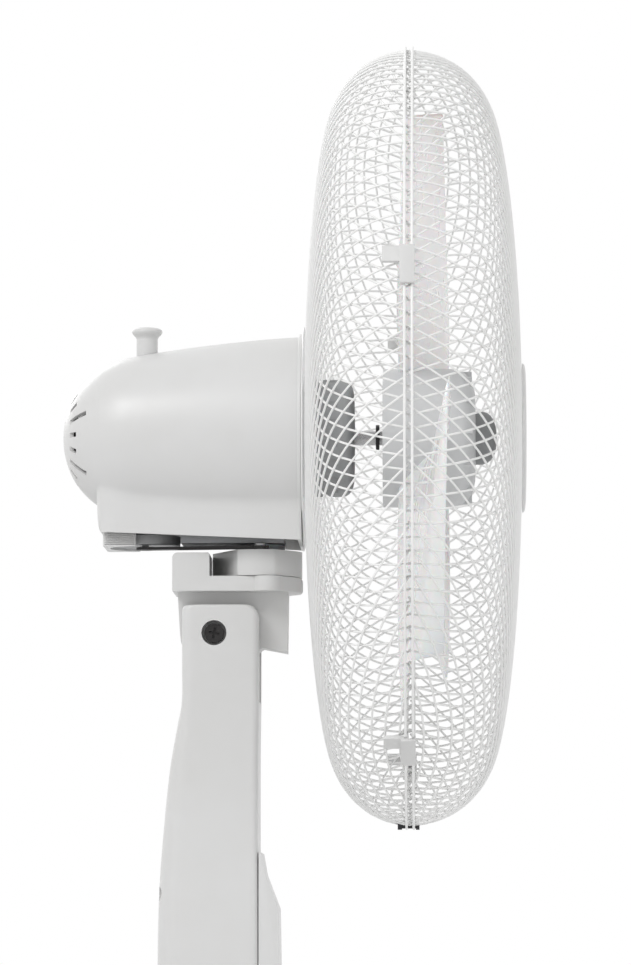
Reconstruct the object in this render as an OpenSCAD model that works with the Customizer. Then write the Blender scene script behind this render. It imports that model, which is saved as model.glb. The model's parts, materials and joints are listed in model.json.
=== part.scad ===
// Pedestal fan with an oscillating, tilting head.
// Units are millimetres. +Z is up and +X is the way the air blows.
// The origin is on the pole's axis, on the floor under the round base.

/* [Stand] */
// Diameter of the round base
base_d = 450; // [430:10:480]
// Thickness of the steel ballast plate
ballast_t = 5; // [4:1:8]
// Outside diameter of the fixed lower pole
lower_pole_d = 25; // [24:1:28]
// Height of the lower pole's top above the floor
lower_pole_top = 430; // [380:10:440]
// Outside diameter of the sliding upper pole
upper_pole_d = 20; // [18:1:20]

/* [Neck] */
// Height of the tilt pivot above the floor
pivot_z = 949; // [930:1:970]
// Distance of the tilt pivot behind the pole's axis
pivot_back = 3; // [0:1:5]
// Width of the fork at the top of the neck
fork_w = 54; // [50:1:58]
// Width of the tongue between the fork's ears
tongue_w = 26; // [24:1:27]
// Length of the neck below the pivot
neck_len = 300; // [290:1:310]
// Number of push buttons
button_count = 4; // [3:1:4]

/* [Swivel] */
// Distance of the swivel axis in front of the pole's axis
swivel_x = 22.5; // [20:0.5:25]
// Distance of the crank's axis behind the pole's axis
crank_back = 42; // [40:1:44]
// Throw of the crank pin
crank_throw = 14.3; // [12:0.1:15]
// Radius of the link's fixed pin about the swivel axis
lug_r = 25; // [22:1:26]

/* [Motor] */
// Height of the fan's axis above the tilt pivot
head_rise = 111; // [108:1:116]
// Radius of the motor cover at its front flange
cover_r = 57; // [55:0.5:60]
// Distance from the pole's axis to the cover's rearmost point
cover_back = 89; // [86:1:92]
// Position of the cover's front edge
cover_front = 44; // [42:1:46]
// Diameter of the motor shaft
shaft_d = 8; // [7:0.5:9]
// Radius of the stator stack
stator_r = 42; // [38:1:43]
// Number of vent slots round the cover's nose
vent_count = 18; // [15:3:24]

/* [Guards] */
// Outer radius of the guard rims
guard_r = 220; // [210:1:221]
// Depth of the front half of the guard
guard_depth = 63.6; // [55:0.1:66]
// Depth of the rear half of the guard
rear_depth = 59.5; // [55:0.1:60]
// Position of the plane between the two rims
rim_x = 106; // [104:1:110]
// Thickness of the wire mesh's skin
mesh_t = 0.5; // [0.4:0.1:1]

/* [Fan blade] */
// Number of blades
blade_count = 3; // [3:1:5]
// Radius of the blade tips
blade_tip_r = 183; // [170:1:190]
// Radius of the hub
hub_r = 39; // [34:1:42]
// Thickness of a blade
blade_t = 2; // [1.6:0.1:3]

/* [Hidden] */
$fn = 64;

plastic_white = [0.93, 0.93, 0.92];
plastic_grey = [0.55, 0.56, 0.57];
steel = [0.72, 0.73, 0.74];
dark_steel = [0.2, 0.2, 0.21];
cast_alloy = [0.62, 0.63, 0.64];
copper = [0.72, 0.42, 0.22];
nylon = [0.85, 0.83, 0.76];
rubber = [0.12, 0.12, 0.12];

wall = 2.4;
fit_gap = 0.05;
skin_gap = 0.3;
head_z = pivot_z + head_rise;
ear_gap = tongue_w + 2;
neck_bottom = pivot_z - neck_len;
crank_x = -crank_back;
flange_z = pivot_z + 23.4;
table_bottom = pivot_z + 32;
table_top = pivot_z + 46.5;
frame_z = pivot_z + 55;
worm_x = -33;
wheel_y = 13.4;

// ---------------------------------------------------------------- helpers

// Points of a cubic curve from a to d, pulled towards b and c
function curve(a, b, c, d, n = 12) = [
  for (i = [0:n])
    let (t = i / n, s = 1 - t)
    a * s * s * s + b * 3 * s * s * t + c * 3 * s * t * t + d * t * t * t
];

// Points of an arc about (x, y)
function arc(x, y, r, a0, a1, n = 8) = [
  for (i = [0:n])
    let (a = a0 + (a1 - a0) * i / n)
    [x + r * cos(a), y + r * sin(a)]
];

// Rounded rectangle, anticlockwise
function rounded(x0, x1, y0, y1, r, n = 6) = concat(
  arc(x1 - r, y1 - r, r, 0, 90, n),
  arc(x0 + r, y1 - r, r, 90, 180, n),
  arc(x0 + r, y0 + r, r, 180, 270, n),
  arc(x1 - r, y0 + r, r, 270, 360, n)
);

// Rounded rectangle at height z, as the section of a loft
function section(z, x0, x1, w, r) = [
  for (p = rounded(x0, x1, -w / 2, w / 2, r))
    [p[0], p[1], z]
];

// Smooth solid through sections listed from the lowest up
module loft(rings) {
  n = len(rings[0]);
  last = len(rings) - 1;
  polyhedron(
    points = [for (ring = rings) each ring],
    faces = concat(
      [[for (i = [0:n - 1]) i]],
      [[for (i = [0:n - 1]) last * n + n - 1 - i]],
      [for (k = [0:last - 1]) for (i = [0:n - 1])
        [k * n + i, (k + 1) * n + i, (k + 1) * n + (i + 1) % n]],
      [for (k = [0:last - 1]) for (i = [0:n - 1])
        [k * n + i, (k + 1) * n + (i + 1) % n, k * n + (i + 1) % n]]
    )
  );
}

// Turns [radius, x] points about the fan's axis
module spin(points, fn = 96)
  translate([0, 0, head_z])
    rotate([0, 90, 0])
      rotate_extrude($fn = fn)
        polygon(points);

// Tube or disc along the fan's axis
module drum(x0, x1, r_out, r_in = 0)
  translate([x0, 0, head_z])
    rotate([0, 90, 0])
      difference() {
        cylinder(r = r_out, h = x1 - x0);
        if (r_in > 0)
          translate([0, 0, -1])
            cylinder(r = r_in, h = x1 - x0 + 2);
      }

// Tube or disc about a vertical axis
module post(x, y, z0, z1, r_out, r_in = 0)
  translate([x, y, z0])
    difference() {
      cylinder(r = r_out, h = z1 - z0);
      if (r_in > 0)
        translate([0, 0, -1])
          cylinder(r = r_in, h = z1 - z0 + 2);
    }

// Rod or hole across the fan, at a distance x and height z
module cross_rod(x, z, y0, y1, r)
  translate([x, y0, z])
    rotate([-90, 0, 0])
      cylinder(r = r, h = y1 - y0);

// Outline in the XZ plane, made into a plate from y0 to y1
module side_plate(points, y0, y1)
  translate([0, y1, 0])
    rotate([90, 0, 0])
      linear_extrude(height = y1 - y0)
        polygon(points);

// Box between two corners
module block(low, high)
  translate(low)
    cube(high - low);

// ---------------------------------------------------------------- stand

base_r = base_d / 2;
ballast_z = 3;
foot_r = 9;
foot_count = 6;
foot_ring_r = base_r - 32;
socket_r = 16;

module base_cover()
  color(plastic_white)
    rotate_extrude($fn = 128)
      polygon(concat(
        [[base_r - wall, 1.5], [base_r, 1.5], [base_r, 6]],
        curve([base_r, 6], [base_r, 14], [base_r - 8, 17], [base_r - 24, 18]),
        curve([base_r - 24, 18], [120, 24], [70, 25], [48, 30]),
        curve([48, 30], [34, 33], [26, 44], [24, 62]),
        [[socket_r + fit_gap, 64], [socket_r + fit_gap, 58], [22, 56]],
        curve([22, 56], [24, 40], [32, 30], [48, 27]),
        curve([48, 27], [70, 22], [120, 21], [base_r - 24, 15.4]),
        curve([base_r - 24, 15.4], [base_r - 10, 14], [base_r - wall, 12], [base_r - wall, 6])
      ));

module ballast_plate()
  color(dark_steel)
    difference() {
      post(0, 0, ballast_z, ballast_z + ballast_t, base_r - 20);
      for (i = [0:3])
        rotate([0, 0, 45 + i * 90])
          post(27, 0, 0, 20, 2.5 + fit_gap);
    }

module base_feet()
  color(rubber)
    for (i = [0:foot_count - 1])
      rotate([0, 0, i * 360 / foot_count])
        post(foot_ring_r, 0, 0, ballast_z, foot_r);

module base_bolts()
  color(steel)
    for (i = [0:3])
      rotate([0, 0, 45 + i * 90]) {
        post(27, 0, ballast_z + 0.5, ballast_z + ballast_t + 5, 2.5);
        post(27, 0, ballast_z + ballast_t + 5, ballast_z + ballast_t + 8, 5);
      }

module pole_socket()
  color(plastic_grey)
    difference() {
      union() {
        post(0, 0, ballast_z + ballast_t, ballast_z + ballast_t + 5, 36);
        post(0, 0, ballast_z + ballast_t, 72, socket_r);
      }
      post(0, 0, ballast_z + ballast_t + 3, 80, lower_pole_d / 2 + fit_gap);
      for (i = [0:3])
        rotate([0, 0, 45 + i * 90])
          post(27, 0, 0, 20, 2.5 + fit_gap);
    }

module lower_pole()
  color(plastic_white)
    post(0, 0, ballast_z + ballast_t + 3, lower_pole_top, lower_pole_d / 2, lower_pole_d / 2 - 1.1);

collet_r = lower_pole_d / 2 + 3;

module pole_collet()
  color(plastic_grey)
    difference() {
      union() {
        post(0, 0, lower_pole_top - 34, lower_pole_top, collet_r, lower_pole_d / 2 + fit_gap);
        post(0, 0, lower_pole_top, lower_pole_top + 16, collet_r - 1.5, upper_pole_d / 2 + fit_gap);
      }
      for (i = [0:1])
        rotate([0, 0, i * 90])
          block([-20, -0.8, lower_pole_top + 3], [20, 0.8, lower_pole_top + 30]);
    }

collar_r = collet_r + 5.5;
collar_ribs = 20;

module height_collar()
  color(plastic_white) {
    difference() {
      rotate_extrude($fn = 96)
        polygon(concat(
          [[collet_r + skin_gap, lower_pole_top - 28], [collar_r - 1, lower_pole_top - 28]],
          [[collar_r, lower_pole_top - 26], [collar_r, lower_pole_top + 12]],
          curve(
            [collar_r, lower_pole_top + 12], [collar_r, lower_pole_top + 20],
            [collar_r - 5, lower_pole_top + 22], [upper_pole_d / 2 + 2, lower_pole_top + 24]
          ),
          [[upper_pole_d / 2 + skin_gap, lower_pole_top + 24]],
          [[upper_pole_d / 2 + skin_gap, lower_pole_top + 17]],
          [[collet_r + skin_gap, lower_pole_top + 17]]
        ));
      for (i = [0:collar_ribs - 1])
        rotate([0, 0, i * 360 / collar_ribs])
          post(collar_r + 1.2, 0, lower_pole_top - 22, lower_pole_top + 9, 2);
    }
  }

// ---------------------------------------------------------------- mast

pole_end = lower_pole_top - 110;
pole_head = neck_bottom + 48;

module upper_pole()
  color(steel)
    post(0, 0, pole_end, pole_head, upper_pole_d / 2, upper_pole_d / 2 - 1.2);

// Side outline of the neck: drop below the pivot, rear x, front x, width, corner radius
NECK = [
  [-neck_len, -25, 21, 50, 12],
  [-neck_len + 7, -30, 21.6, 57, 12],
  [-neck_len + 24, -34, 21.6, 61, 12],
  [-190, -34.3, 21.6, 62, 12],
  [-143, -33.5, 21.6, 60, 12],
  [-105, -30.7, 21.6, 57, 11],
  [-75, -27.6, 21.6, 55, 10],
  [-52, -23.6, 21.8, fork_w, 8],
  [-38, -21, 22, fork_w, 6]
];

// Side outline of the cover over the controls: drop below the pivot and front x
PANEL = [
  [-neck_len + 8, 26],
  [-neck_len + 20, 32.5],
  [-186, 33.5],
  [-153, 32.9],
  [-134, 25.6],
  [-122, 23.5]
];
panel_w = 56;

neck_floor = 5;
neck_roof = 42;

// The neck's outer form, or with an inset the hollow inside it
module neck_solid(inset)
  loft([
    for (row = NECK)
      section(
        pivot_z + (inset == 0 ? row[0] : max(neck_floor - neck_len, min(row[0], -neck_roof))),
        row[1] + inset, row[2] - inset, row[3] - 2 * inset, row[4] - inset
      )
  ]);

module ear(y0, y1)
  side_plate(concat(
    [[-21, pivot_z - 38.5], [22, pivot_z - 38.5]],
    arc(22 - 7, pivot_z + 15.8 - 7, 7, 0, 90),
    arc(-21 + 3.4, pivot_z + 15.8 - 3.4, 3.4, 90, 180)
  ), y0, y1);

screw_z = [pivot_z - 145, pivot_z - 275];
screw_y = 20;

module neck_housing()
  color(plastic_white)
    difference() {
      union() {
        difference() {
          neck_solid(0);
          neck_solid(wall);
          block([14, -24.2, neck_bottom + 12], [40, 24.2, pivot_z - 128]);
        }
        ear(ear_gap / 2, fork_w / 2);
        ear(-fork_w / 2, -ear_gap / 2);
        post(0, 0, neck_bottom + 0.5, pole_head + 4, upper_pole_d / 2 + 4);
        for (z = screw_z, y = [-screw_y, screw_y])
          translate([-33, y, z])
            rotate([0, 90, 0])
              cylinder(r = 5.5, h = 34);
      }
      post(0, 0, neck_bottom - 1, pole_head, upper_pole_d / 2 + fit_gap);
      cross_rod(-pivot_back, pivot_z, -fork_w, fork_w, 4 + fit_gap);
      cross_rod(-pivot_back, pivot_z, -fork_w, -fork_w / 2 + 10, 7);
      cross_rod(-pivot_back, pivot_z, fork_w / 2 - 10, fork_w, 7);
      for (z = screw_z, y = [-screw_y, screw_y])
        translate([-60, y, z])
          rotate([0, 90, 0]) {
            cylinder(r = 4, h = 58);
            cylinder(r = 1.75 + fit_gap, h = 70);
          }
      gland_hole();
    }

gland_z = neck_bottom + 34;

module gland_hole()
  translate([-50, 0, gland_z])
    rotate([0, 90, 0])
      cylinder(r = 6, h = 30);

button_w = 32;
button_h = 13;
button_pitch = 20;
button_top_z = pivot_z - 196;
button_front = 38;

// The cover's outer form, or with an inset the hollow inside it
module panel_solid(inset) {
  last = len(PANEL) - 1;
  back = inset > 0 ? 20 : 22;
  side_plate(concat(
    [[back, pivot_z + PANEL[0][0] + inset]],
    [for (i = [0:last])
      [PANEL[i][1] - inset, pivot_z + PANEL[i][0] + (i == 0 ? inset : 0) - (i == last ? inset : 0)]],
    [[back, pivot_z + PANEL[last][0] - inset]]
  ), -panel_w / 2 + inset, panel_w / 2 - inset);
}

module control_panel()
  color(plastic_white)
    difference() {
      union() {
        difference() {
          panel_solid(0);
          panel_solid(1.8);
        }
        for (z = screw_z, y = [-screw_y, screw_y])
          translate([2, y, z])
            rotate([0, 90, 0])
              cylinder(r = 3.5, h = z == screw_z[0] ? 26 : 29.6);
      }
      for (z = screw_z, y = [-screw_y, screw_y])
        translate([-2, y, z])
          rotate([0, 90, 0])
            cylinder(r = 1.75, h = 26);
      for (i = [0:button_count - 1])
        block(
          [18, -button_w / 2, button_top_z - i * button_pitch - button_h / 2],
          [60, button_w / 2, button_top_z - i * button_pitch + button_h / 2]
        );
    }

module panel_screws()
  color(dark_steel)
    for (z = screw_z, y = [-screw_y, screw_y])
      translate([-5, y, z])
        rotate([0, 90, 0]) {
          cylinder(r = 3.5, h = 3);
          cylinder(r = 1.75, h = 27);
        }

module switch_block()
  color(nylon)
    block(
      [14.3, -13, button_top_z - (button_count - 1) * button_pitch - 10],
      [20.5, 13, button_top_z + 10]
    );

module run_capacitor()
  color(dark_steel)
    block([-24, -12, pivot_z - 124], [-8, 12, pivot_z - 84]);

module cord_gland()
  color(rubber)
    translate([0, 0, gland_z])
      rotate([0, -90, 0])
        rotate_extrude()
          polygon([
            [3.2, 22], [8, 22], [8, 26], [5.9, 26], [5.9, 34.8], [8.4, 35], [8.4, 37],
            [5, 44], [3.2, 44]
          ]);

module button(i)
  color(plastic_white) {
    z = button_top_z - i * button_pitch;
    side = button_w / 2 - skin_gap;
    half = button_h / 2 - skin_gap;
    translate([26, 0, z])
      rotate([0, 90, 0])
        linear_extrude(height = button_front - 26)
          polygon(rounded(-half, half, -side, side, 2.2));
    block([24.6, -side - 2, z - half - 1.5], [26, side + 2, z + half + 1.5]);
  }

module button_0() button(0);
module button_1() button(1);
module button_2() button(2);
module button_3() button(3);

bolt_sunk = 3.5;

module pivot_bolt()
  color(steel)
    difference() {
      union() {
        cross_rod(-pivot_back, pivot_z, -fork_w / 2 + bolt_sunk, -fork_w / 2 + 10, 5.3);
        cross_rod(-pivot_back, pivot_z, -fork_w / 2 + 9, fork_w / 2 - 5, 4);
      }
      for (turn = [0, 90])
        translate([-pivot_back, -fork_w / 2 + bolt_sunk, pivot_z])
          rotate([0, turn + 12, 0])
            cube([6, 3, 1.3], center = true);
    }

module pivot_nut()
  color(steel)
    difference() {
      translate([-pivot_back, fork_w / 2 - 10, pivot_z])
        rotate([-90, 0, 0])
          cylinder(r = 6.6, h = 6, $fn = 6);
      cross_rod(-pivot_back, pivot_z, 0, fork_w, 4 + fit_gap);
    }

module friction_washers()
  color(steel)
    for (y = [-ear_gap / 2, tongue_w / 2 + 0.1])
      difference() {
        cross_rod(-pivot_back, pivot_z, y, y + 0.9, 11);
        cross_rod(-pivot_back, pivot_z, y - 1, y + 2, 4 + fit_gap);
      }

// ---------------------------------------------------------------- tilting bracket

bracket_w = fork_w;
lug_y = -lug_r;
link_z0 = table_top + 0.4;
link_z1 = table_top + 2;
link_turn = atan2(lug_r - crank_throw, swivel_x + crank_back);
link_len = norm([swivel_x + crank_back, lug_r - crank_throw]);

// The rear block stands behind the turntable, on the flange
module tilt_bracket()
  color(plastic_white)
    difference() {
      union() {
        side_plate(concat(
          [[-26.3, flange_z], [-5.6, flange_z]],
          arc(-5.6 - 1, pivot_z + 44.8 - 1, 1, 0, 90),
          arc(-26.3 + 3, pivot_z + 44.8 - 3, 3, 90, 180)
        ), -bracket_w / 2, bracket_w / 2);
        intersection() {
          side_plate(
            rounded(-26, 46, flange_z, table_bottom - skin_gap, 2), -bracket_w / 2, bracket_w / 2
          );
          swing_clear(60, table_front_r + 0.5, flange_z - 1, table_bottom);
        }
        post(swivel_x + 4, -22, flange_z, table_bottom - skin_gap, 8.5);
        side_plate(concat(
          [[-24, flange_z + 2]],
          [[-22.5, pivot_z]],
          arc(-5, pivot_z, 17.5, 195, 270),
          [[12, pivot_z - 16], [24, pivot_z - 7.5], [37.5, pivot_z - 10], [38, flange_z + 2]]
        ), -tongue_w / 2, tongue_w / 2);
      }
      cross_rod(-pivot_back, pivot_z, -fork_w, fork_w, 4 + fit_gap);
      post(swivel_x, 0, pivot_z + 8, table_bottom + 1, 6 + fit_gap);
    }

table_r = 29;
table_front_r = 23.1;

// Plan that keeps clear of the guard as the head swings
module swing_clear(r_max, r_front, z0, z1)
  translate([swivel_x, 0, z0])
    linear_extrude(height = z1 - z0)
      polygon([
        for (a = [-180:3:177])
          let (r = abs(a) < swing_max ? r_front : r_front / cos(min(abs(a) - swing_max, 75)))
          min(r, r_max) * [cos(a), sin(a)]
      ]);
table_flat = 21.8;
swing_max = 35;
table_flat_turn = 23.4;

// Round plate that the head turns on; its flat side stops the swing
module turntable()
  color(plastic_white)
    difference() {
      intersection() {
        swing_clear(table_r, table_front_r, table_bottom, table_top);
        translate([swivel_x, 0, 0])
          rotate([0, 0, table_flat_turn])
            block([-table_flat, -40, table_bottom - 1], [60, 40, table_top + 1]);
      }
      post(swivel_x, 0, table_bottom - 1, table_top + 1, 6 + fit_gap);
      post(swivel_x, lug_y, table_bottom - 1, table_top + 1, 1.5);
    }

module swivel_post()
  color(steel)
    post(swivel_x, 0, pivot_z + 8, head_z - bracket_r - 0.5, 6);

module link_pin()
  color(steel) {
    post(swivel_x, lug_y, table_top - 8, link_z1 + 0.2, 1.5);
    post(swivel_x, lug_y, link_z1 + 0.1, link_z1 + 1.3, 3);
  }

// ---------------------------------------------------------------- head

motor_rear = -22;
motor_front = 41;
bracket_r = stator_r + 5;

// Cast cradle under the motor, with the bore that turns on the post
module motor_frame()
  color(cast_alloy)
    difference() {
      union() {
        block([-21.5, -24, frame_z - 4.7], [36, 24, frame_z + 4]);
        post(swivel_x, 0, table_top + 1, frame_z + 1, 13.4);
        post(swivel_x, 0, frame_z, frame_z + 10, 11);
        for (y = [-24, 18])
          block([-14, y, frame_z + 3], [36, y + 6, head_z - 30]);
      }
      post(swivel_x, 0, table_top, frame_z + 40, 6 + fit_gap);
      drum(motor_rear - 1, motor_front + 1, bracket_r + 0.1);
      drum(-30, 50, stator_r + 0.1);
    }

case_x0 = -60;
case_x1 = motor_rear - 0.3;
case_y0 = -17;
case_y1 = 25;
case_z0 = frame_z + 4;
case_z1 = head_z + 9;

module gearbox_case()
  color(cast_alloy)
    difference() {
      union() {
        block([case_x0, case_y0, case_z0], [case_x1, case_y1, case_z1]);
        block([case_x1 - 1, -15, case_z0], [-14, 15, head_z - bracket_r - 0.4]);
        post(crank_x, 0, case_z0 - 3, case_z0 + 1, 8);
      }
      block([case_x0 + 2, case_y0 + 2, case_z0 + 3], [case_x1 - 1.2, case_y1 - 2, case_z1 - 2]);
      post(crank_x, 0, case_z0 - 10, case_z0 + 10, 4 + fit_gap);
      post(crank_x, 0, case_z1 - 5, case_z1 + 5, 2 + fit_gap);
      post(worm_x, wheel_y, case_z0 + 1, case_z0 + 10, 2 + fit_gap);
      drum(case_x1 - 4, case_x1 + 2, 6);
    }

screw_ring = stator_r + 2.8;

// Holes through the brackets for the four long motor screws
module screw_holes()
  for (a = [45, 135, 225, 315])
    translate([0, 0, head_z])
      rotate([a, 0, 0])
        translate([motor_rear - 5, 0, screw_ring])
          rotate([0, 90, 0])
            cylinder(r = 1.5 + fit_gap, h = motor_front - motor_rear + 10);

module rear_bracket()
  color(cast_alloy)
    difference() {
      spin([
        [8.05, motor_rear + 6], [8.05, motor_rear], [14, motor_rear], [18, motor_rear + 3],
        [bracket_r, motor_rear + 3], [bracket_r, -2], [stator_r + 0.5, -2],
        [stator_r + 0.5, motor_rear + 6], [18, motor_rear + 6]
      ]);
      screw_holes();
    }

module front_bracket()
  color(cast_alloy)
    difference() {
      spin([
        [8.05, motor_front - 6], [8.05, motor_front], [14, motor_front], [18, motor_front - 3],
        [bracket_r, motor_front - 3], [bracket_r, 20], [stator_r + 0.5, 20],
        [stator_r + 0.5, motor_front - 6], [18, motor_front - 6]
      ]);
      screw_holes();
    }

module stator_core()
  color(dark_steel)
    difference() {
      drum(-3, 21, stator_r, 22.5);
      for (i = [0:15])
        translate([0, 0, head_z])
          rotate([i * 22.5, 0, 0])
            block([-4, -2, 21], [22, 2, 34]);
    }

module stator_windings()
  color(copper)
    for (x = [[-12, -3.1], [21.1, 30]])
      drum(x[0], x[1], 37, 25);

module motor_bearings()
  color([0.75, 0.6, 0.35])
    for (x = [motor_rear, motor_front - 8])
      drum(x, x + 8, 8, shaft_d / 2 + fit_gap);

// Outline of the motor cover, from the nose forwards
function cover_curve(inset, n) = concat(
  curve(
    [0.01, -cover_back + inset], [23, -cover_back + inset],
    [cover_r - 16 - inset, -74 + inset / 2], [cover_r - 11 - inset, -50], n
  ),
  [for (i = [1:n]) curve(
    [cover_r - 11 - inset, -50], [cover_r - 6.5 - inset, -26],
    [cover_r - 1.5 - inset, 14], [cover_r - inset, cover_front], n
  )[i]]
);

// Plan of the box under the cover, from the rear
function chin_plan(inset) = concat(
  arc(-59 + inset, 20, 10, 180, 100, 6),
  [[cover_front - (inset > 0 ? -1 : 0), 42 - inset], [cover_front - (inset > 0 ? -1 : 0), -42 + inset]],
  arc(-59 + inset, -20, 10, 260, 180, 6)
);

chin_rear_z = -54;
chin_front_z = -60.5;

module chin(inset)
  intersection() {
    translate([0, 0, head_z - 64])
      linear_extrude(height = 64 - 18 - inset)
        polygon(chin_plan(inset));
    side_plate([
      [-90, head_z + chin_rear_z + 0.5 - (inset > 0 ? 5 : 0)],
      [60, head_z + chin_front_z - 0.5 - (inset > 0 ? 5 : 0)],
      [60, head_z], [-90, head_z]
    ], -60, 60);
  }

vent_r = 21;
vent_w = 2.6;
vent_turn = 10;

module motor_cover()
  color(plastic_white)
    difference() {
      union() {
        spin(concat(cover_curve(0, 14), [[0.01, cover_front]]));
        chin(0);
      }
      spin(concat(cover_curve(wall, 14), [[cover_r - wall, cover_front + 1], [0.01, cover_front + 1]]));
      chin(wall);
      for (i = [0:vent_count - 1])
        translate([0, 0, head_z])
          rotate([i * 360 / vent_count + vent_turn, 0, 0])
            block(
              [-cover_back - 5, -vent_w / 2, vent_r],
              [-60, vent_w / 2, vent_r + (i % 3 == 0 ? 13 : 6.5)]
            );
      post(crank_x, 0, head_z + 30, head_z + 60, 6.4);
    }

foot_rib_count = 7;
foot_z0 = link_z1 + 0.4;

// Ribbed skirt under the cover, round the rear of the crank
module cover_foot()
  color(plastic_white)
    difference() {
      translate([0, 0, foot_z0])
        linear_extrude(height = head_z + chin_rear_z + 1 - foot_z0)
          polygon(rounded(-65.3, -46.7, -25, 25, 3));
      post(crank_x, 0, foot_z0 - 1, head_z, 20.5);
      for (i = [0:foot_rib_count - 1], side = [-1, 1])
        translate([-55, side * 25, foot_z0 + 0.7 + i * 1.15])
          cube([24, 2.6, 0.6], center = true);
    }

module front_plate()
  color(plastic_white)
    difference() {
      union() {
        spin(concat(
          [[9, cover_front - 2.4], [54, cover_front - 2.4], [54, cover_front]],
          [[cover_r + 1.6, cover_front], [cover_r + 1.6, cover_front + 2]],
          [[20, cover_front + 2], [20, cover_front + 22], [16, cover_front + 24]],
          [[16, cover_front + 0.5], [9, cover_front + 0.5]]
        ));
        side_plate(
          rounded(cover_front, cover_front + 2, head_z - 60.5, head_z - 30, 0.5), -44, 44
        );
      }
      drum(40, 60, 9);
    }

module motor_screws()
  color(steel)
    for (a = [45, 135, 225, 315])
      translate([0, 0, head_z])
        rotate([a, 0, 0])
          translate([0, 0, screw_ring])
            rotate([0, 90, 0]) {
              translate([0, 0, motor_rear + 0.5])
                cylinder(r = 1.5, h = motor_front - motor_rear - 1.5);
              translate([0, 0, motor_rear + 0.5])
                cylinder(r = 2.8, h = 2.3);
              translate([0, 0, motor_front - 2.9])
                cylinder(r = 2.8, h = 2, $fn = 6);
            }

// ---------------------------------------------------------------- guards

rim_gap = 4;
rim_t = 1.4;
rim_h = 4.5;
plate_r = cover_r + 4;
badge_r = 42;

// Outline of a guard half: [radius, depth] from the rim to the middle
function guard_curve(r_in, deep, n) = concat(
  curve(
    [guard_r - 2, 2.75], [guard_r - 3, 0.34 * deep],
    [0.93 * guard_r, 0.66 * deep], [0.80 * guard_r, 0.78 * deep], n
  ),
  [for (i = [1:n]) curve(
    [0.80 * guard_r, 0.78 * deep], [0.67 * guard_r, 0.90 * deep],
    [0.40 * guard_r, 0.99 * deep], [r_in, deep - 0.4], n
  )[i]]
);

// Clears the head of the rim screw and its nut
module rim_screw_space(r)
  translate([rim_x - 8, 0, head_z - guard_r + 2.2])
    rotate([0, 90, 0])
      cylinder(r = r, h = 16);

// Skin of the wire mesh; side is 1 for the front half and -1 for the rear
module mesh_skin(side, r_in, deep) {
  outer = guard_curve(r_in, deep, 10);
  last = len(outer) - 1;
  spin(concat(
    [for (p = outer) [p[0], rim_x + side * p[1]]],
    [for (i = [last:-1:0])
      let (a = 90 * i / last)
      [outer[i][0] - mesh_t * cos(a), rim_x + side * (outer[i][1] - mesh_t * sin(a))]]
  ), 128);
}

module guard_rim(side)
  difference() {
    spin([
      for (p = rounded(guard_r - rim_h, guard_r, -rim_t / 2, rim_t / 2, 0.5, 3))
        [p[0], rim_x + side * rim_gap / 2 + p[1]]
    ], 128);
    rim_screw_space(1.5 + fit_gap);
  }

module rear_guard_plate()
  color(plastic_white)
    spin([
      [20.4, cover_front + 2.2], [plate_r + 1, cover_front + 2.2],
      [plate_r + 2, cover_front + 2.7], [plate_r + 1, cover_front + 3.2],
      [40, cover_front + 3.2],
      [36, cover_front + 4.4], [20.4, cover_front + 4.4]
    ]);

module rear_guard_mesh()
  color(plastic_white)
    difference() {
      mesh_skin(-1, plate_r + 2.2, rear_depth);
      rim_screw_space(2.4);
    }

module rear_guard_rim()
  color(plastic_white)
    guard_rim(-1);

module front_guard_rim()
  color(plastic_white)
    guard_rim(1);

module front_guard_mesh()
  color(plastic_white)
    difference() {
      mesh_skin(1, badge_r - 1, guard_depth);
      rim_screw_space(2.4);
    }

badge_x = rim_x + guard_depth - 0.3;

module front_badge()
  color(plastic_white)
    spin(concat(
      [[0.01, badge_x], [badge_r, badge_x]],
      curve(
        [badge_r, badge_x], [badge_r, badge_x + 1],
        [badge_r - 1, badge_x + 1.6], [badge_r - 4, badge_x + 1.8], 4
      ),
      [[0.01, badge_x + 2.4]]
    ));

clip_angles = [71, 145, -71, -145];
clip_len = 22;
clip_tab = 9;

// Each clip hooks over both rims and has a finger tab towards the motor
module guard_clips()
  color(plastic_white)
    for (a = clip_angles)
      translate([0, 0, head_z])
        rotate([a, 0, 0])
          mirror([0, a < 0 ? 1 : 0, 0]) {
            difference() {
              block([rim_x - 4.6, -clip_len / 2, guard_r - 1.6], [rim_x + 3.4, clip_len / 2, guard_r + 2.2]);
              block(
                [rim_x - rim_gap / 2 - rim_t / 2 - 0.1, -clip_len, guard_r - 8],
                [rim_x + rim_gap / 2 + rim_t / 2 + 0.1, clip_len, guard_r + 0.3]
              );
            }
            block(
              [rim_x - 13.8, clip_len / 2 - clip_tab, guard_r - 1.7],
              [rim_x - 4.5, clip_len / 2, guard_r + 0.6]
            );
          }

module rim_screw()
  color(dark_steel)
    translate([0, 0, head_z - guard_r + 2.2])
      rotate([0, 90, 0]) {
        translate([0, 0, rim_x - 7])
          cylinder(r = 1.5, h = 12);
        translate([0, 0, rim_x - 7])
          cylinder(r = 2.2, h = 2.4);
        translate([0, 0, rim_x + 3.2])
          cylinder(r = 2.2, h = 2, $fn = 6);
      }

nut_grips = 18;

module guard_nut()
  color(plastic_grey)
    difference() {
      spin(concat(
        [[20.3, cover_front + 4.6], [31, cover_front + 4.6], [33, cover_front + 7]],
        [[33, cover_front + 24]],
        curve(
          [33, cover_front + 24], [33, cover_front + 29],
          [28, cover_front + 31], [22, cover_front + 31], 6
        ),
        [[10, cover_front + 31], [10, cover_front + 28.5], [20.3, cover_front + 28.5]]
      ));
      for (i = [0:nut_grips - 1])
        translate([0, 0, head_z])
          rotate([i * 360 / nut_grips, 0, 0])
            translate([cover_front + 8, 0, 35])
              rotate([0, 90, 0])
                cylinder(r = 3, h = 14);
    }

// ---------------------------------------------------------------- knob

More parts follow.
